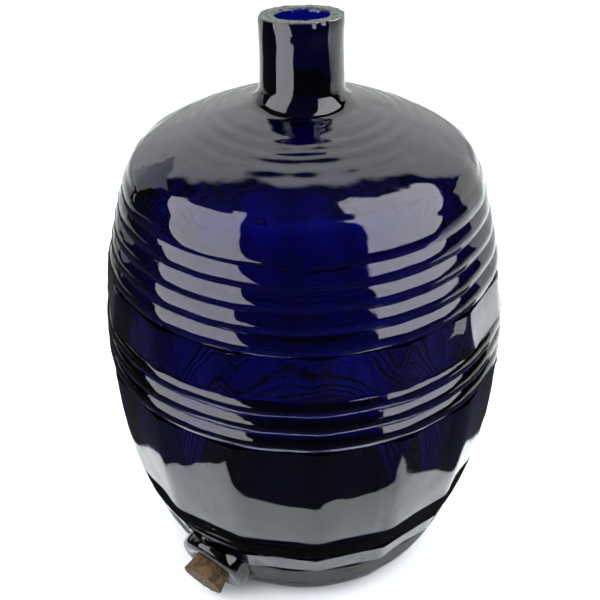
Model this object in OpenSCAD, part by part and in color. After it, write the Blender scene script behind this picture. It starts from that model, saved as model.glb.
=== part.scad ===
// Spirit barrel: a mould-blown blue glass keg with a tap hole low in its side,
// ringed with applied glass and stopped with a cork.
// +Z is up, the origin is the centre of the foot, and the tap faces -Y.

/* [Barrel] */
// Radius of the barrel at the belly, before hoops and staves
belly_r = 121; // [100:1:145]
// Height of the belly, where the barrel is widest
belly_z = 147; // [120:1:180]
// Radius of the foot
foot_r = 84; // [68:1:96]
// Radius of the shoulder, where the dome starts
shoulder_r = 95.5; // [78:0.5:98]
// Thickness of the glass
wall = 6; // [4:0.5:8]

/* [Staves] */
// Number of flat staves around the barrel
staves = 12; // [10:1:16]
// How far the middle of a stave lies inside the barrel's curve
stave_dip = 1.5; // [0.5:0.1:2]
// How far a stave's corner stands outside the barrel's curve
corner_rise = 1.8; // [0.5:0.1:2]

/* [Bands from the foot up] */
// Height of the plain heel
heel_h = 8; // [5:0.5:10]
// Number of foot hoops
foot_hoops = 4; // [2:1:5]
// Height of one foot hoop
foot_hoop_h = 8; // [6:0.5:10]
// Height of the narrow stave belt
narrow_belt_h = 14.5; // [10:0.5:18]
// Number of lower hoops
lower_hoops = 3; // [2:1:4]
// Height of one lower hoop
lower_hoop_h = 7.5; // [6:0.5:9]
// Height of the main stave belt
main_belt_h = 75; // [60:1:90]
// Number of middle hoops
middle_hoops = 3; // [2:1:4]
// Height of one middle hoop
middle_hoop_h = 11; // [8:0.5:13]
// Height of the upper stave belt
upper_belt_h = 25; // [18:1:32]
// Number of ridges under the shoulder
ridges = 5; // [3:1:6]
// Height of one ridge
ridge_h = 11.2; // [9:0.1:13.5]
// Height of the smooth band between the ridges and the shoulder
collar_h = 9; // [6:0.5:12]
// Depth of the groove between two hoops, inside the barrel's curve
groove_d = 1.2; // [0.6:0.1:1.5]
// How far a hoop's crest stands outside the barrel's curve
crest_rise = 1.2; // [0.6:0.1:1.8]

/* [Neck] */
// Rise of the dome from the shoulder to the foot of the neck
dome_h = 26; // [20:0.5:32]
// How far the dome's middle bulges above a straight cone
dome_bulge = 3; // [0:0.5:4]
// How far in from the shoulder the soft turn between side and dome reaches
shoulder_turn = 21.5; // [8:0.5:30]
// Height of the neck above the dome
neck_h = 49; // [40:0.5:60]
// Outer radius of the neck
neck_r = 23; // [20:0.5:28]
// Radius of the bore in the neck
bore_r = 14.5; // [11:0.5:17]
// Radius of the sweep that joins the neck to the dome
neck_sweep = 8; // [4:0.5:12]
// Slope of the sheared lip
lip_slope = 4.5; // [0:0.5:6]
// Direction of the lip's highest point, turned from +X
lip_turn = -36; // [-180:1:180]

/* [Foot] */
// Rise of the pushed-up middle of the foot
kick_h = 12; // [6:0.5:18]
// Width of the flat rim that the barrel stands on
foot_rim_w = 14; // [8:0.5:18]
// Radius of the rounded heel
heel_round = 3; // [2:0.5:4]

/* [Tap] */
// Height of the tap's centre on the wall
tap_z = 27; // [26:0.5:45]
// Downward slope of the tap
tap_slope = 21; // [12:1:26]
// Radius of the tap hole
tap_r = 12.6; // [9:0.1:14]
// Outer radius of the applied ring
ring_r = 24; // [20:0.5:26]
// How far the ring stands out from the wall
ring_h = 8.5; // [6:0.5:12]

/* [Cork] */
// Radial gap between the cork's shank and the hole
cork_gap = 0.05; // [0.02:0.01:0.08]
// Length of the cork outside the ring
cork_head = 10; // [6:0.5:14]
// How much the cork's outer end is wider than its shank, on the radius
cork_flare = 1.7; // [0.4:0.1:2]
// Chamfer on the cork's ends
cork_edge = 0.8; // [0.3:0.1:1.5]

/* [Hidden] */
$fn = 96;

hoop_steps = 6;      // straight pieces in one hoop's arch
belt_step = 12.5;    // height of one straight piece in a stave belt
sweep_steps = 5;     // straight pieces in the sweep under the neck
sweep_turn = 70;     // angle that the sweep turns through
dome_steps = 6;      // straight pieces in the dome
turn_steps = 6;      // straight pieces in the shoulder's soft turn
turn_lift = 1;       // how far the turn's corner stands above the shoulder
inner_step = 18;     // height of one straight piece in the inner wall
kick_steps = 6;      // straight pieces in the pushed-up foot
ring_steps = 20;     // straight pieces around half of the ring's section
corner_r = 4;        // bevel inside the heel
past = 1;            // how far a cutter runs past what it cuts

// Height of the bottom of each band
narrow_z = heel_h + foot_hoops * foot_hoop_h;
lower_z = narrow_z + narrow_belt_h;
main_z = lower_z + lower_hoops * lower_hoop_h;
middle_z = main_z + main_belt_h;
upper_z = middle_z + middle_hoops * middle_hoop_h;
ridge_z = upper_z + upper_belt_h;
collar_z = ridge_z + ridges * ridge_h;
shoulder_z = collar_z + collar_h;
neck_z = shoulder_z + dome_h;
top_z = neck_z + neck_h;

// The side is two arcs that are upright at the belly: one to the foot, one to the shoulder
function arc_radius(rise, run) = (rise * rise + run * run) / (2 * run);
low_arc = arc_radius(belly_z, belly_r - foot_r);
high_arc = arc_radius(shoulder_z - belly_z, belly_r - shoulder_r);
function side_arc(z) = z < belly_z ? low_arc : high_arc;
function barrel_r(z) = belly_r - side_arc(z) + sqrt(pow(side_arc(z), 2) - pow(z - belly_z, 2));

// Points up a row of arched hoops that starts at height z0
function hoop_row(z0, count, h) = [
    for (i = [0 : count - 1], k = [0 : hoop_steps])
        if (k < hoop_steps || i == count - 1)
            let (t = k / hoop_steps, z = z0 + (i + t) * h)
                [barrel_r(z) - groove_d + (groove_d + crest_rise) * 4 * t * (1 - t), z]
];

// Points up the round blank that a belt's staves are cut from
function belt_blank(z0, h) =
    let (n = ceil(h / belt_step))
        [for (k = [0 : n]) let (z = z0 + h * k / n) [barrel_r(z) + corner_rise, z]];

// Where the dome meets the sweep, and the sweep's centre
sweep_r = neck_r + neck_sweep * (1 - cos(sweep_turn));
sweep_z = neck_z + neck_sweep * sin(sweep_turn);

// Points from the shoulder, or from the part t0 of the way in, to the sweep, lowered by drop
function dome_point(t, drop) =
    [shoulder_r + (sweep_r - shoulder_r) * t,
     shoulder_z + dome_h * t + dome_bulge * 4 * t * (1 - t) - drop];
function dome(drop, t0 = 0) = [
    for (k = [0 : dome_steps]) dome_point(t0 + (1 - t0) * k / dome_steps, drop)
];

// Points round the soft turn, from the top of the ridges over to where the dome takes up
turn_t = shoulder_turn / (shoulder_r - sweep_r);
function soft_turn() =
    let (a = [barrel_r(collar_z), collar_z],
         b = [shoulder_r, shoulder_z + turn_lift],
         c = dome_point(turn_t, 0))
        [for (k = [1 : turn_steps - 1])
            let (t = k / turn_steps)
                a * pow(1 - t, 2) + b * 2 * t * (1 - t) + c * t * t];

function sweep() = [
    for (k = [sweep_steps - 1 : -1 : 0])
        let (a = sweep_turn * k / sweep_steps)
            [neck_r + neck_sweep * (1 - cos(a)), sweep_z - neck_sweep * sin(a)]
];

// The foot is pushed up in the middle
kick_r = foot_r - heel_round - foot_rim_w;
function kick(lift) = [
    for (k = [0 : kick_steps])
        let (r = kick_r * k / kick_steps)
            [r, lift + kick_h * (1 - pow(r / kick_r, 2))]
];

// The tap's axis leaves the wall at tap_z, and its own z points out of the barrel
tap_out = barrel_r(tap_z);
module on_tap() {
    translate([0, -tap_out, tap_z]) rotate([90 + tap_slope, 0, 0]) children();
}

// Solid outside of the barrel, without its hollow
module outer_form() {
    difference() {
        rotate_extrude()
            polygon(concat(
                kick(0),
                [[foot_r - heel_round, 0], [foot_r, heel_round]],
                hoop_row(heel_h, foot_hoops, foot_hoop_h),
                belt_blank(narrow_z, narrow_belt_h),
                hoop_row(lower_z, lower_hoops, lower_hoop_h),
                belt_blank(main_z, main_belt_h),
                hoop_row(middle_z, middle_hoops, middle_hoop_h),
                belt_blank(upper_z, upper_belt_h),
                hoop_row(ridge_z, ridges, ridge_h),
                soft_turn(),
                dome(0, turn_t),
                sweep(),
                [[neck_r, top_z], [0, top_z]]
            ));
        stave_flats(narrow_z, narrow_belt_h);
        stave_flats(main_z, main_belt_h);
        stave_flats(upper_z, upper_belt_h);
        lip_cut();
    }
}

// What is cut off a belt's blank to leave its flat staves
module stave_flats(z0, h) {
    n = ceil(h / belt_step);
    wide = 2 * (belly_r + corner_rise) * tan(180 / staves) + 2 * past;
    for (i = [0 : staves - 1])
        rotate([0, 0, i * 360 / staves - 90]) rotate([90, 0, 0])
            linear_extrude(height = wide, center = true)
                polygon(concat(
                    [for (k = [0 : n]) let (z = z0 + h * k / n) [barrel_r(z) - stave_dip, z]],
                    [[belly_r + corner_rise + past, z0 + h], [belly_r + corner_rise + past, z0]]
                ));
}

// The lip was sheared off a little out of level, and its highest point is at top_z
module lip_cut() {
    rotate([0, 0, lip_turn]) translate([neck_r, 0, top_z]) rotate([0, -lip_slope, 0])
        translate([-3 * neck_r, -2 * neck_r, 0]) cube([5 * neck_r, 4 * neck_r, neck_r]);
}

// The hollow that the blowing left
module hollow() {
    z0 = wall + corner_r;
    z1 = shoulder_z - wall / 2;
    n = ceil((z1 - z0) / inner_step);
    rotate_extrude()
        polygon(concat(
            kick(wall),
            [[barrel_r(wall) - wall - corner_r, wall]],
            [for (k = [0 : n]) let (z = z0 + (z1 - z0) * k / n) [barrel_r(z) - wall, z]],
            [for (p = dome(wall)) if (p[0] < shoulder_r - 2 * wall) p],
            [[bore_r, neck_z], [bore_r, top_z + past], [0, top_z + past]]
        ));
}

module glass_barrel() {
    color([0.03, 0.03, 0.4, 0.7])
        difference() {
            outer_form();
            hollow();
            on_tap() cylinder(r = tap_r, h = 6 * wall, center = true);
        }
}

// A flattened ring of glass, laid on hot so that its back takes the shape of the wall
ring_back = ring_r * ring_r / (2 * tap_out) + wall / 2;
module tap_ring() {
    mid_r = (ring_r + tap_r) / 2;
    half_w = (ring_r - tap_r) / 2;
    color([0.03, 0.03, 0.3, 0.8])
        difference() {
            on_tap() rotate_extrude()
                polygon(concat(
                    [[tap_r, -ring_back], [ring_r, -ring_back]],
                    [for (k = [0 : ring_steps])
                        let (a = 180 * k / ring_steps)
                            [mid_r + half_w * cos(a), ring_h / 2 * (1 + sin(a))]]
                ));
            outer_form();
        }
}

// A tapered cork, pushed in from outside until its inner end is flush with the inner wall
module cork() {
    shank_r = tap_r - cork_gap;
    head_r = shank_r + cork_flare;
    color([0.72, 0.56, 0.34])
        on_tap() rotate_extrude()
            polygon([
                [0, -wall], [shank_r - cork_edge, -wall], [shank_r, cork_edge - wall],
                [shank_r, ring_h], [head_r, ring_h + cork_head - cork_edge],
                [head_r - cork_edge, ring_h + cork_head], [0, ring_h + cork_head]
            ]);
}

glass_barrel();
tap_ring();
cork();
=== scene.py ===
import math

import bpy
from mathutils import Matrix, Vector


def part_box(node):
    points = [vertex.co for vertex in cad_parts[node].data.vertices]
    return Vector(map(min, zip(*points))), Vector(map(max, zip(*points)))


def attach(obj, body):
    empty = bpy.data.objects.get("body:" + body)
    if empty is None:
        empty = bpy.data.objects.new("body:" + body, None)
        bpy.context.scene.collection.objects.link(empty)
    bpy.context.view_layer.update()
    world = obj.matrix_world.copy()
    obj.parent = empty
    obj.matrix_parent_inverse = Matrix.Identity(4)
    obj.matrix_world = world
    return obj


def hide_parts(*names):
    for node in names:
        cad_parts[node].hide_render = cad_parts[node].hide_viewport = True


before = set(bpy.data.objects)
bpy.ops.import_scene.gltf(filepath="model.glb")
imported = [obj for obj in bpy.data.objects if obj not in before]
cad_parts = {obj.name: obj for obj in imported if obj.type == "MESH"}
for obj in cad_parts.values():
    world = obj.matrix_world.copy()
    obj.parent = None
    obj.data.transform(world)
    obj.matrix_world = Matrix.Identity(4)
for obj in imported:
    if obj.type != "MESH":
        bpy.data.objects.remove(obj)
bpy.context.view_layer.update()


# ---------------------------------------------------------------- glass barrel
# The vessel is one gather of cobalt glass, blown into a keg-shaped mould with turned
# hoops and sixteen flat staves, then drawn into a short neck and sheared off at the lip.
# One stave's width is shaped first, repeated round the axis, and left uneven by hand.

STAVES = 16
COLUMNS = 12                      # mesh columns across one stave
stave_turn = math.radians(4.75)   # how far the staves are turned round from the tap
wall = 0.006
neck_radius, bore_radius = 0.023, 0.0145
lip_tilt, lip_turn = math.radians(4.5), math.radians(-36)   # how steep, and which way
lip_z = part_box("glass_barrel")[1].z - neck_radius * math.tan(lip_tilt)

belly_radius, belly_z = 0.121, 0.147
foot_radius, shoulder_radius = 0.084, 0.0955
rim_radius = 0.074                          # inner edge of the ring that it stands on
kick, kick_radius = 0.012, 0.067            # the push-up in the middle of the foot
stave_dip, corner_rise = 0.0005, 0.0016     # flats and corners, from the keg's smooth curve
groove_depth, crest_rise = 0.0012, 0.0012   # hoops, from the same curve

# Bands from the foot up: height of one, how many hoops (none on a band of staves)
HEEL, COLLAR, DOME = 0.008, 0.009, 0.026
dome_bulge = 0.003
BANDS = [
    (0.008, 4), (0.0145, 0), (0.0075, 3), (0.075, 0),
    (0.011, 3), (0.025, 0), (0.0112, 5),
]
shoulder_z = HEEL + sum(height * max(hoops, 1) for height, hoops in BANDS) + COLLAR


def barrel_radius(z):
    """Radius of the keg's smooth curve: two arcs, upright at the belly."""
    if z < belly_z:
        run, rise = belly_radius - foot_radius, belly_z
    else:
        run, rise = belly_radius - shoulder_radius, shoulder_z - belly_z
    arc = (rise * rise + run * run) / (2 * run)
    return belly_radius - arc + math.sqrt(arc * arc - (z - belly_z) ** 2)


def outer_outline():
    """Points from the middle of the pushed-up foot out to the shoulder, and the bands' heights."""
    heel_round, heel_cut = 0.003, 0.0009
    points = [(kick_radius * k / 8, kick * (1 - (k / 8) ** 2)) for k in range(9)]
    points += [(rim_radius, 0.0), (foot_radius - heel_round, 0.0)]
    points += [(foot_radius - heel_cut, heel_cut), (foot_radius, heel_round)]
    edged, rounded = 1.15, 2            # how the hoops near the foot and the others are shaped
    under_shoulder, run_together = 5, 3.5
    shallow, faint = 0.85, 0.45
    stave_row = 0.005                   # height of a mesh row on the staves
    z, spans = HEEL, []
    for height, hoops in BANDS:
        if hoops:
            steps = 10
            for k in range(hoops * steps + 1):
                i = min(k // steps, hoops - 1)
                t = k / steps - i
                at = z + (i + t) * height
                shape = edged if z < belly_z / 2 else rounded
                drop = (groove_depth + crest_rise) * abs(2 * t - 1) ** shape
                # the five under the shoulder are shallower, and the top ones run together
                if hoops == under_shoulder:
                    drop *= shallow if i + t < run_together else faint
                points.append((barrel_radius(at) + crest_rise - drop, at))
        else:
            steps = max(3, round(height / stave_row))
            for k in range(steps + 1):
                at = z + height * k / steps
                points.append((barrel_radius(at) + corner_rise, at))
        spans.append((z, z + height * max(hoops, 1), hoops == 0))
        z += height * max(hoops, 1)
    return points, spans


def dome_outline(drop, inner_end, steps, ripple=0):
    """Points from the shoulder in towards the neck, on a cone that bulges a little. Faint
    ripples run round it, from a third of the way in until just before the neck."""
    ripples, ripple_start, ripple_reach = 7.5, 0.33, 0.6
    points = []
    for k in range(steps + 1):
        t = k / steps
        fade = math.sin(math.pi * min(max(t - ripple_start, 0) / ripple_reach, 1))
        z = shoulder_z + DOME * t + dome_bulge * 4 * t * (1 - t) - drop
        z += ripple * math.sin(2 * math.pi * ripples * t) * fade
        points.append((shoulder_radius + (inner_end - shoulder_radius) * t, z))
    return points


def shoulder_outline(dome):
    """The broad soft turn from the collar over to the dome."""
    bend_lift = 0.001
    start = (barrel_radius(shoulder_z - COLLAR), shoulder_z - COLLAR)
    bend = (shoulder_radius, shoulder_z + bend_lift)
    points, steps = [], 20
    for k in range(1, steps):
        t = k / steps
        a, b, c = (1 - t) ** 2, 2 * t * (1 - t), t * t
        points.append(tuple(a * start[i] + b * bend[i] + c * dome[0][i] for i in (0, 1)))
    return points


def neck_outline():
    """The dome, the sweep up out of it, the neck and its lip, then down the bore."""
    sweep, turn = 0.012, math.radians(70)
    waist = 0.0006                      # how much the neck narrows half-way up
    outer_worn, inner_worn = (0.0007, 0.0008), (0.0004, 0.001)      # the lip's two edges
    dome_steps, soft_steps, ripple = 50, 16, 0.00026
    sweep_end = neck_radius + sweep * (1 - math.cos(turn))
    centre_z = shoulder_z + DOME + sweep * math.sin(turn)
    dome = dome_outline(0, sweep_end, dome_steps, ripple)[soft_steps:]
    points = shoulder_outline(dome) + dome
    for k in range(7, -1, -1):
        a = turn * k / 8
        points.append((neck_radius + sweep * (1 - math.cos(a)), centre_z - sweep * math.sin(a)))
    for k in range(1, 12):
        t = k / 12
        points.append((
            neck_radius - waist * math.sin(math.pi * t),
            centre_z + (lip_z - centre_z) * t,
        ))
    points += [(neck_radius, lip_z - outer_worn[1]), (neck_radius - outer_worn[0], lip_z)]
    points += [(neck_radius - (neck_radius - bore_radius) * k / 8, lip_z) for k in range(1, 8)]
    points += [(bore_radius + inner_worn[0], lip_z - 0.3 * inner_worn[1])]
    points += [(bore_radius, lip_z - inner_worn[1])]
    bore_end = shoulder_z + DOME
    points += [(bore_radius, lip_z + (bore_end - lip_z) * k / 10) for k in range(1, 11)]
    return points


def inner_outline():
    """Down the inside of the dome and wall to the middle of the floor."""
    bore_round, shoulder_round, floor_round = 0.004, 0.004, 0.006
    points = list(reversed(dome_outline(wall, bore_radius + bore_round, 12)))[:-1]
    start, end = shoulder_z - shoulder_round, wall + floor_round
    for k in range(31):
        at = start + (end - start) * k / 30
        points.append((barrel_radius(at) - wall, at))
    points += [(barrel_radius(end) - wall - 0.002, wall + 0.002), (kick_radius, wall)]
    points += [(kick_radius * k / 8, wall + kick * (1 - (k / 8) ** 2)) for k in range(7, -1, -1)]
    return points


def pick(piece, test):
    """Selects the vertices that pass the test, and goes to edit mode."""
    bpy.ops.object.mode_set(mode="OBJECT")
    for part in (piece.data.polygons, piece.data.edges):
        part.foreach_set("select", [False] * len(part))
    for v in piece.data.vertices:
        v.select = test(v.co)
    bpy.ops.object.mode_set(mode="EDIT")


def new_outline(name, points):
    """A chain of edges in the XZ plane, drawn by extruding one vertex, left in edit mode."""
    bpy.ops.object.select_all(action="DESELECT")
    bpy.ops.mesh.primitive_plane_add(size=0.001)
    piece = bpy.context.object
    piece.name = piece.data.name = name
    bpy.ops.object.mode_set(mode="EDIT")
    bpy.ops.mesh.select_mode(type="VERT")
    bpy.ops.mesh.select_all(action="SELECT")
    bpy.ops.mesh.merge(type="CENTER")
    bpy.ops.transform.translate(value=(points[0][0], 0, points[0][1]))
    for a, b in zip(points, points[1:]):
        step = (b[0] - a[0], 0, b[1] - a[1])
        bpy.ops.mesh.extrude_region_move(TRANSFORM_OT_translate={"value": step})
    bpy.ops.mesh.select_all(action="SELECT")
    return piece


def close_up(gap):
    """Joins what meets and turns every face outwards."""
    bpy.ops.mesh.select_all(action="SELECT")
    bpy.ops.mesh.remove_doubles(threshold=gap)
    bpy.ops.mesh.normals_make_consistent(inside=False)


def unevenness(piece, name, size, depth, group, middle=0.5):
    """Pushes a vertex group in and out along its normals by a soft noise of that size."""
    texture = bpy.data.textures.new(name, "CLOUDS")
    texture.noise_scale = size
    swell = piece.modifiers.new(name, "DISPLACE")
    swell.texture = texture
    swell.texture_coords = "LOCAL"
    swell.strength = depth
    swell.mid_level = middle
    swell.vertex_group = group
    bpy.ops.object.modifier_apply(modifier=name)


outline, spans = outer_outline()
barrel = new_outline("barrel_glass", outline + neck_outline() + inner_outline())
stave_angle = 2 * math.pi / STAVES
bpy.ops.mesh.spin(steps=COLUMNS, angle=stave_angle, center=(0, 0, 0), axis=(0, 0, 1))
close_up(gap=1e-6)

# The mould's flats: each column is drawn in to the stave's plane, less so on the hoops,
# which are nearly round, and the corners stay a little soft.
soft, hoop_share, turned_share = 0.0002, 0.2, 0.25
spans.append((shoulder_z - COLLAR, shoulder_z + DOME * turned_share, False))
for z0, z1, is_stave in spans:
    mean = barrel_radius(min((z0 + z1) / 2, shoulder_z))
    blank = mean + (corner_rise if is_stave else 0)
    for j in range(COLUMNS // 2 + 1):
        off = stave_angle * j / COLUMNS
        flat, corner = (mean - stave_dip) / math.cos(off), mean + corner_rise
        reach = -soft * math.log(math.exp(-flat / soft) + math.exp(-corner / soft))
        reach = reach if is_stave else blank + hoop_share * (reach - mean)

        def in_column(v):
            """Whether the vertex is in this band, this far round from its stave's middle."""
            if not z0 - 1e-5 < v.z < z1 + 1e-5:
                return False
            off_middle = stave_angle / 2 - abs(math.atan2(-v.y, v.x) - stave_angle / 2)
            deep = math.hypot(v.x, v.y) < barrel_radius(min(v.z, shoulder_z)) - wall / 2
            on_dome = v.z > shoulder_z - wall / 2
            return abs(off_middle - off) < 1e-3 and (on_dome or not deep)

        pick(barrel, in_column)
        factor = reach / blank
        bpy.ops.transform.resize(value=(factor, factor, 1), center_override=(0, 0, 0))

bpy.ops.mesh.select_all(action="SELECT")
bpy.ops.mesh.spin(
    steps=STAVES - 1, angle=2 * math.pi - stave_angle, dupli=True,
    center=(0, 0, 0), axis=(0, 0, 1),
)
close_up(gap=2e-6)
bpy.ops.mesh.select_all(action="SELECT")
bpy.ops.transform.rotate(value=-stave_turn, orient_axis="Z", center_override=(0, 0, 0))

# The sheared lip slopes, and its broken edge is rough and chipped.
lip_depth = 0.0011
pick(barrel, lambda v: v.z > lip_z - lip_depth)
for axis, share in (("X", math.sin(lip_turn)), ("Y", -math.cos(lip_turn))):
    bpy.ops.transform.rotate(
        value=-lip_tilt * share, orient_axis=axis, center_override=(0, 0, lip_z),
    )
barrel.vertex_groups.new(name="lip")
bpy.ops.object.vertex_group_assign()
bpy.ops.object.mode_set(mode="OBJECT")
unevenness(barrel, "broken_edge", size=0.005, depth=lip_depth, group="lip", middle=0.9)


def on_skin(v):
    """Whether the vertex is on the outside of the wall, the dome or the neck."""
    level = math.hypot(v.x, v.y)
    if level > barrel_radius(min(v.z, shoulder_z)) - wall / 2:
        return True
    cone = DOME * (shoulder_radius - level) / (shoulder_radius - neck_radius)
    in_bore = level <= bore_radius + 0.001
    return v.z > shoulder_z and not in_bore and v.z > shoulder_z - wall / 2 + cone


# It left the mould with its skin a little uneven, and stands on a foot rubbed flat.
foot_wear = 0.0004
pick(barrel, on_skin)
barrel.vertex_groups.new(name="skin")
bpy.ops.object.vertex_group_assign()
bpy.ops.object.mode_set(mode="OBJECT")
unevenness(barrel, "hand_blown", size=0.06, depth=0.0022, group="skin")
unevenness(barrel, "wavy_skin", size=0.02, depth=0.0007, group="skin")
pick(barrel, lambda v: v.z < foot_wear)
bpy.ops.transform.resize(value=(1, 1, 0), center_override=(0, 0, 0))
bpy.ops.object.mode_set(mode="OBJECT")

barrel.data.materials.append(bpy.data.materials.new("cobalt_glass"))
barrel.data.materials.append(bpy.data.materials.new("sheared_lip"))
lip = barrel.vertex_groups["lip"].index
in_lip = {v.index for v in barrel.data.vertices if any(g.group == lip for g in v.groups)}
facing_up = 0.3
for face in barrel.data.polygons:
    level = math.hypot(face.center.x, face.center.y)
    on_top = bore_radius < level < neck_radius and face.normal.z > facing_up
    if in_lip.issuperset(face.vertices) and on_top:
        face.material_index = 1
glass_edge = math.radians(24)           # faces that meet more sharply keep their edge
bpy.ops.object.shade_smooth_by_angle(angle=glass_edge)

# Deep cobalt glass, fire-polished but a little ruffled and bloomed in patches.
glass = bpy.data.materials["cobalt_glass"]
glass.use_nodes = True
nodes, links = glass.node_tree.nodes, glass.node_tree.links
shader = nodes["Principled BSDF"]
shader.inputs["Base Color"].default_value = (0.9, 0.93, 1, 1)
shader.inputs["Transmission Weight"].default_value = 1
shader.inputs["IOR"].default_value = 1.52
depth = nodes.new("ShaderNodeVolumeAbsorption")
depth.inputs["Color"].default_value = (0, 0.02, 0.62, 1)
depth.inputs["Density"].default_value = 720
links.new(depth.outputs["Volume"], nodes["Material Output"].inputs["Volume"])

place = nodes.new("ShaderNodeTexCoord")
drift = nodes.new("ShaderNodeTexNoise")
drift.inputs["Scale"].default_value = 30
drift.inputs["Detail"].default_value = 3
links.new(place.outputs["Object"], drift.inputs["Vector"])
chill = nodes.new("ShaderNodeTexNoise")
chill.inputs["Scale"].default_value = 240
chill.inputs["Detail"].default_value = 4
links.new(place.outputs["Object"], chill.inputs["Vector"])
patch = nodes.new("ShaderNodeMapRange")
patch.inputs["From Min"].default_value = 0.42
patch.inputs["From Max"].default_value = 0.62
links.new(drift.outputs["Fac"], patch.inputs["Value"])
marks = nodes.new("ShaderNodeMath")
marks.operation = "MULTIPLY"
links.new(chill.outputs["Fac"], marks.inputs[0])
links.new(patch.outputs["Result"], marks.inputs[1])
ruffle = nodes.new("ShaderNodeBump")
ruffle.inputs["Strength"].default_value = 0.3
ruffle.inputs["Distance"].default_value = 0.00025
links.new(marks.outputs["Value"], ruffle.inputs["Height"])
links.new(ruffle.outputs["Normal"], shader.inputs["Normal"])
bloom = nodes.new("ShaderNodeMapRange")
bloom.inputs["To Min"].default_value = 0.015
bloom.inputs["To Max"].default_value = 0.06
links.new(drift.outputs["Fac"], bloom.inputs["Value"])
links.new(bloom.outputs["Result"], shader.inputs["Roughness"])

# The lip's broken edge was never polished: it is dull, and dark grey-green.
sheared = bpy.data.materials["sheared_lip"]
sheared.use_nodes = True
nodes, links = sheared.node_tree.nodes, sheared.node_tree.links
shader = nodes["Principled BSDF"]
shader.inputs["Roughness"].default_value = 0.6
shader.inputs["IOR"].default_value = 1.3
place = nodes.new("ShaderNodeTexCoord")
grit = nodes.new("ShaderNodeTexNoise")
grit.inputs["Scale"].default_value = 700
grit.inputs["Detail"].default_value = 5
links.new(place.outputs["Object"], grit.inputs["Vector"])
tint = nodes.new("ShaderNodeValToRGB")
tint.color_ramp.elements[0].position = 0.38
tint.color_ramp.elements[0].color = (0.012, 0.018, 0.02, 1)
tint.color_ramp.elements[1].position = 0.66
tint.color_ramp.elements[1].color = (0.11, 0.125, 0.1, 1)
links.new(grit.outputs["Fac"], tint.inputs["Fac"])
links.new(tint.outputs["Color"], shader.inputs["Base Color"])
grain = nodes.new("ShaderNodeBump")
grain.inputs["Strength"].default_value = 0.8
grain.inputs["Distance"].default_value = 0.0006
links.new(grit.outputs["Fac"], grain.inputs["Height"])
links.new(grain.outputs["Normal"], shader.inputs["Normal"])

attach(barrel, "barrel")
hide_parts("glass_barrel")


# ------------------------------------------------------------------ tap ring
# A collar of the same glass, laid hot round the tap hole and pressed on, so that its back
# takes the shape of the hoops. The hole is then through collar and wall alike.

tap_z, tap_slope, tap_radius = 0.027, math.radians(21), 0.0126
tap_out = barrel_radius(tap_z)
ring_radius, ring_height = 0.024, 0.0085
ring_bed = 0.001                        # how far behind the smooth curve its back starts
ring_middle, ring_half = (ring_radius + tap_radius) / 2, (ring_radius - tap_radius) / 2

section = [(tap_radius, -ring_bed), (tap_radius, 0.0), (tap_radius, ring_height / 4)]
for k in range(17):
    a = math.pi * (1 - k / 16)
    out = ring_height / 2 * (1 + math.sin(a))
    section.append((ring_middle + ring_half * math.cos(a), out))
section += [(ring_radius, ring_height / 4), (ring_radius, 0.0)]
section += [(ring_radius - 2 * ring_half * k / 8, -ring_bed) for k in range(9)]
ring = new_outline("tap_ring_glass", section)
bpy.ops.mesh.spin(steps=96, angle=2 * math.pi, center=(0, 0, 0), axis=(0, 0, 1))
close_up(gap=1e-6)
pick(ring, lambda v: v.z > 2 * ring_bed)
ring.vertex_groups.new(name="face")
bpy.ops.object.vertex_group_assign()
pick(ring, lambda v: v.z < -ring_bed / 2)
ring.vertex_groups.new(name="back")
bpy.ops.object.vertex_group_assign()
bpy.ops.object.mode_set(mode="OBJECT")

# Tipped over to the tap's axis and pressed on: the back is cast on to the hoops.
ring.rotation_euler = (math.pi / 2 + tap_slope, 0, 0)
ring.location = (0, -tap_out, tap_z)
press = ring.modifiers.new("press", "SHRINKWRAP")
press.target = barrel
press.wrap_method = "PROJECT"
press.use_project_z = True
press.use_positive_direction = press.use_negative_direction = True
press.vertex_group = "back"
press.wrap_mode = "ABOVE_SURFACE"
press.offset = 0.0001
bpy.ops.object.modifier_apply(modifier="press")
bpy.ops.object.transform_apply(location=True, rotation=True, scale=True)
unevenness(ring, "hand_laid", size=0.02, depth=0.0011, group="face")
bpy.ops.object.shade_smooth_by_angle(angle=math.radians(40))
ring.data.materials.append(glass)

# The hole goes on through the wall.
drill_length = 5 * wall
bpy.ops.object.select_all(action="DESELECT")
bpy.ops.mesh.primitive_cylinder_add(
    vertices=96, radius=tap_radius, depth=drill_length,
    location=(0, -tap_out, tap_z), rotation=(math.pi / 2 + tap_slope, 0, 0),
)
drill = bpy.context.object
bpy.ops.object.select_all(action="DESELECT")
bpy.context.view_layer.objects.active = barrel
bore = barrel.modifiers.new("tap_hole", "BOOLEAN")
bore.operation = "DIFFERENCE"
bore.solver = "EXACT"
bore.object = drill
bpy.ops.object.modifier_apply(modifier="tap_hole")
bpy.data.objects.remove(drill)
barrel.select_set(True)
bpy.ops.object.shade_smooth_by_angle(angle=glass_edge)

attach(ring, "barrel")
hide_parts("tap_ring")


# ---------------------------------------------------------------------- cork
# A tapered stopper cut from cork bark, pushed in until its inner end is level with the
# inside of the wall. Its outer end is a little swollen, rubbed down at the rim and pitted.

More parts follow.
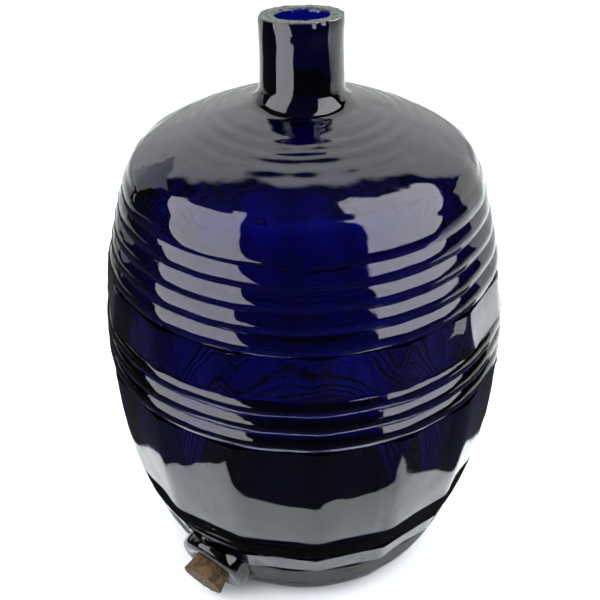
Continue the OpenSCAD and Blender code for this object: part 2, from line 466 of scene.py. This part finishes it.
fit_gap = 0.00005
cork_length_out, shank_radius = 0.010, tap_radius - fit_gap
cork_flare, cork_edge = 0.0017, 0.0008
rim_in, rim_down = 0.0003, 0.0002           # how its outer rim is rubbed away
head_radius = shank_radius + cork_flare
outer_end = ring_height + cork_length_out
shank_start = cork_edge - wall
profile = [(0.0, -wall)] + [((shank_radius - cork_edge) * k / 6, -wall) for k in range(1, 7)]
profile += [
    (shank_radius, shank_start + (ring_height - shank_start) * k / 10) for k in range(11)
]
profile += [
    (shank_radius + cork_flare * k / 8, ring_height + (cork_length_out - cork_edge) * k / 8)
    for k in range(1, 9)
]
profile += [(head_radius - rim_in, outer_end - rim_down)]
profile += [((head_radius - cork_edge) * (8 - k) / 8, outer_end) for k in range(9)]
cork = new_outline("tap_cork", profile)
bpy.ops.mesh.spin(steps=72, angle=2 * math.pi, center=(0, 0, 0), axis=(0, 0, 1))
close_up(gap=1e-6)
pit_depth = 0.0012
pick(cork, lambda v: v.z > ring_height - pit_depth)
cork.vertex_groups.new(name="head")
bpy.ops.object.vertex_group_assign()
bpy.ops.object.mode_set(mode="OBJECT")
finer = cork.modifiers.new("finer", "SUBSURF")
finer.subdivision_type = "SIMPLE"
finer.levels = finer.render_levels = 1
bpy.ops.object.modifier_apply(modifier="finer")
unevenness(cork, "pits", size=0.0022, depth=pit_depth, group="head", middle=0.85)
cork.rotation_euler = (math.pi / 2 + tap_slope, 0, 0)
cork.location = (0, -tap_out, tap_z)
bpy.ops.object.transform_apply(location=True, rotation=True, scale=True)
bpy.ops.object.shade_smooth_by_angle(angle=math.radians(35))

bark = bpy.data.materials.new("cork_bark_painted_shade")
bark.use_nodes = True
nodes, links = bark.node_tree.nodes, bark.node_tree.links
shader = nodes["Principled BSDF"]
shader.inputs["Roughness"].default_value = 0.8
place = nodes.new("ShaderNodeTexCoord")
cloud = nodes.new("ShaderNodeTexNoise")
cloud.inputs["Scale"].default_value = 260
cloud.inputs["Detail"].default_value = 5
links.new(place.outputs["Object"], cloud.inputs["Vector"])
# The tan is darkened to about a quarter of cork's own colour: painted shade for the barrel's shadow
# over the cork.
tan = nodes.new("ShaderNodeValToRGB")
tan.color_ramp.elements[0].position = 0.3
tan.color_ramp.elements[0].color = (0.02, 0.011, 0.003, 1)
tan.color_ramp.elements[1].position = 0.68
tan.color_ramp.elements[1].color = (0.105, 0.062, 0.017, 1)
links.new(cloud.outputs["Fac"], tan.inputs["Fac"])
pore = nodes.new("ShaderNodeTexVoronoi")
pore.inputs["Scale"].default_value = 420
pore.inputs["Randomness"].default_value = 1
links.new(place.outputs["Object"], pore.inputs["Vector"])
dark = nodes.new("ShaderNodeValToRGB")
dark.color_ramp.elements[0].position = 0.12
dark.color_ramp.elements[0].color = (0.09, 0.06, 0.03, 1)
dark.color_ramp.elements[1].position = 0.3
dark.color_ramp.elements[1].color = (1, 1, 1, 1)
links.new(pore.outputs["Distance"], dark.inputs["Fac"])
mixed = nodes.new("ShaderNodeMix")
mixed.data_type = "RGBA"
mixed.blend_type = "MULTIPLY"
mixed.inputs["Factor"].default_value = 0.8
links.new(tan.outputs["Color"], mixed.inputs["A"])
links.new(dark.outputs["Color"], mixed.inputs["B"])
links.new(mixed.outputs["Result"], shader.inputs["Base Color"])
pitted = nodes.new("ShaderNodeBump")
pitted.inputs["Strength"].default_value = 0.7
pitted.inputs["Distance"].default_value = 0.0006
links.new(dark.outputs["Color"], pitted.inputs["Height"])
links.new(pitted.outputs["Normal"], shader.inputs["Normal"])
cork.data.materials.append(bark)

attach(cork, "cork")
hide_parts("cork")


# -------------------------------------------------------------------- studio
# A white sheet on a dark table, in front of a pale curved wall: a wide lamp overhead, a tall
# soft box either side of the camera, and a weaker screen further round on either side. The
# boxes, screens and table are there for the glass to reflect.

camera_turn = math.radians(35)          # how far round from the tap the camera stands
toward = (math.sin(camera_turn), -math.cos(camera_turn))
across = (math.cos(camera_turn), math.sin(camera_turn))


def room_point(ahead, side, up):
    """A place in the room: ahead of the bottle towards the camera, to its right, and up."""
    return (
        toward[0] * ahead + across[0] * side,
        toward[1] * ahead + across[1] * side,
        up,
    )


def matt(name, colour, roughness):
    """A plain matt material."""
    material = bpy.data.materials.new(name)
    material.use_nodes = True
    shader = material.node_tree.nodes["Principled BSDF"]
    shader.inputs["Base Color"].default_value = colour
    shader.inputs["Roughness"].default_value = roughness
    return material


bpy.ops.object.select_all(action="DESELECT")
bpy.ops.mesh.primitive_plane_add(size=12)
floor = bpy.context.object
floor.name = "floor"
floor.data.materials.append(matt("white_sheet", (0.86, 0.91, 0.89, 1), 0.8))

shade = matt("dark_cloth", (0.012, 0.012, 0.016, 1), 0.9)


def dark_table(name, left, right, back, front):
    """A bare part of the table beyond the white sheet, which only the glass's shine shows."""
    cloth_lift = 0.0006
    bpy.ops.object.select_all(action="DESELECT")
    bpy.ops.mesh.primitive_plane_add(size=1)
    strip = bpy.context.object
    strip.name = name
    strip.scale = (right - left, front - back, 1)
    strip.location = room_point((back + front) / 2, (left + right) / 2, cloth_lift)
    strip.rotation_euler = (0, 0, camera_turn)
    bpy.ops.object.transform_apply(location=True, rotation=True, scale=True)
    strip.data.materials.append(shade)
    strip.visible_camera = strip.visible_diffuse = False
    strip.visible_transmission = strip.visible_shadow = False


table_end, sheet_edge = 6, 0.182
dark_table("table_front", left=-table_end, right=table_end, back=sheet_edge, front=table_end)
dark_table("table_left", left=-table_end, right=-0.175, back=-0.6, front=sheet_edge)
dark_table("table_right", left=0.165, right=0.55, back=-0.12, front=sheet_edge)


def soft_box(name, radiance, tint, *corners):
    """A white cloth lit from behind, stretched over four corners of the room."""
    bpy.ops.object.select_all(action="DESELECT")
    bpy.ops.mesh.primitive_plane_add(size=1)
    cloth = bpy.context.object
    cloth.name = name
    for vertex, corner in zip(cloth.data.vertices, corners):
        vertex.co = room_point(*corner)
    glow = bpy.data.materials.new(name)
    glow.use_nodes = True
    shader = glow.node_tree.nodes["Principled BSDF"]
    shader.inputs["Base Color"].default_value = (0, 0, 0, 1)
    shader.inputs["Emission Color"].default_value = tint
    shader.inputs["Emission Strength"].default_value = radiance
    cloth.data.materials.append(glow)
    cloth.visible_camera = cloth.visible_shadow = False


# Each has its bottom corners first, the one nearer the middle before the one further out.
soft_box("left_box", 4.6, (0.93, 0.92, 1, 1),
         (0.53, -0.22, 0.13), (0.19, -0.50, 0.13), (0.15, -0.24, 0.8), (-0.2, -0.75, 0.8))
soft_box("right_box", 5.5, (0.93, 0.92, 1, 1),
         (0.95, 0.66, 0.30), (0.25, 1.09, 0.30), (0.1, 0.2, 1.2), (-0.3, 0.76, 0.8))
soft_box("right_screen", 1.3, (1, 1, 1, 1),
         (-0.35, 1.0, 0.1), (-1.0, 0.8, 0.1), (-0.35, 1.0, 0.6), (-1.0, 0.8, 0.6))
soft_box("left_screen", 0.8, (0.9, 0.93, 1, 1),
         (-0.35, -0.9, 0.3), (-0.7, -0.7, 0.3), (-0.35, -0.9, 0.9), (-0.7, -0.7, 0.9))

fill = bpy.data.lights.new("fill", "AREA")
fill.shape = "DISK"
fill.size = 3
fill.energy = 62
overhead = bpy.data.objects.new("fill", fill)
bpy.context.scene.collection.objects.link(overhead)
overhead.location = (0, 0, 2.2)
overhead.visible_camera = overhead.visible_glossy = False

# The room is dark in front and overhead, with a pale curved wall behind that brightens as
# it rises. Seen straight, it is plain white.
world = bpy.data.worlds.new("studio")
bpy.context.scene.world = world
world.use_nodes = True
nodes, links = world.node_tree.nodes, world.node_tree.links
background = nodes["Background"]
way = nodes.new("ShaderNodeTexCoord")
split = nodes.new("ShaderNodeSeparateXYZ")
links.new(way.outputs["Generated"], split.inputs["Vector"])


def world_math(operation, *values):
    """One arithmetic step of the room's brightness."""
    step = nodes.new("ShaderNodeMath")
    step.operation = operation
    for socket, value in zip(step.inputs, values):
        if isinstance(value, (int, float)):
            socket.default_value = value
        else:
            links.new(value, socket)
    return step.outputs["Value"]


def soft_step(value, start, end, low, high):
    """Low up to the start and high from the end, with a soft change between."""
    step = nodes.new("ShaderNodeMapRange")
    step.interpolation_type = "SMOOTHSTEP"
    for name, number in (("From Min", start), ("From Max", end), ("To Min", low), ("To Max", high)):
        step.inputs[name].default_value = number
    links.new(value, step.inputs["Value"])
    return step.outputs["Result"]


def along(way):
    """How far a direction points along a level one."""
    return world_math("ADD", world_math("MULTIPLY", x, way[0]), world_math("MULTIPLY", y, way[1]))


wall_bow, wall_back, wall_blur = 0.65, 0.22, 0.04
wall_low, wall_rise, room_dark, room_white = 0.9, 1.5, 0.03, 1.1
x, y, z = (split.outputs[name] for name in "XYZ")
ahead, aside = along(toward), along(across)
edge = world_math(
    "MULTIPLY_ADD", world_math("MULTIPLY", aside, aside), wall_bow,
    world_math("ADD", ahead, wall_back),
)
on_wall = soft_step(edge, -wall_blur, wall_blur, 1, 0)
pale_wall = world_math("MULTIPLY_ADD", z, wall_rise, wall_low)
room = world_math("MAXIMUM", room_dark, world_math("MULTIPLY", on_wall, pale_wall))
ray = nodes.new("ShaderNodeLightPath")
seen = nodes.new("ShaderNodeMix")
links.new(ray.outputs["Is Camera Ray"], seen.inputs["Factor"])
links.new(room, seen.inputs["A"])
seen.inputs["B"].default_value = room_white
links.new(seen.outputs["Result"], background.inputs["Strength"])
background.inputs["Color"].default_value = (0.98, 0.99, 1, 1)

# The camera looks down on the shoulder, with the tap to the left.
camera_out, camera_up = 0.4763, 0.480
camera_dip, camera_roll = math.radians(33.03), math.radians(0.45)
lens = bpy.data.cameras.new("camera")
lens.sensor_width, lens.lens = 36, 54.4
camera = bpy.data.objects.new("camera", lens)
bpy.context.scene.collection.objects.link(camera)
camera.location = room_point(camera_out, 0, camera_up)
camera.rotation_euler = (math.pi / 2 - camera_dip, camera_roll, camera_turn)
bpy.context.scene.camera = camera
bpy.context.scene.view_settings.view_transform = "Standard"
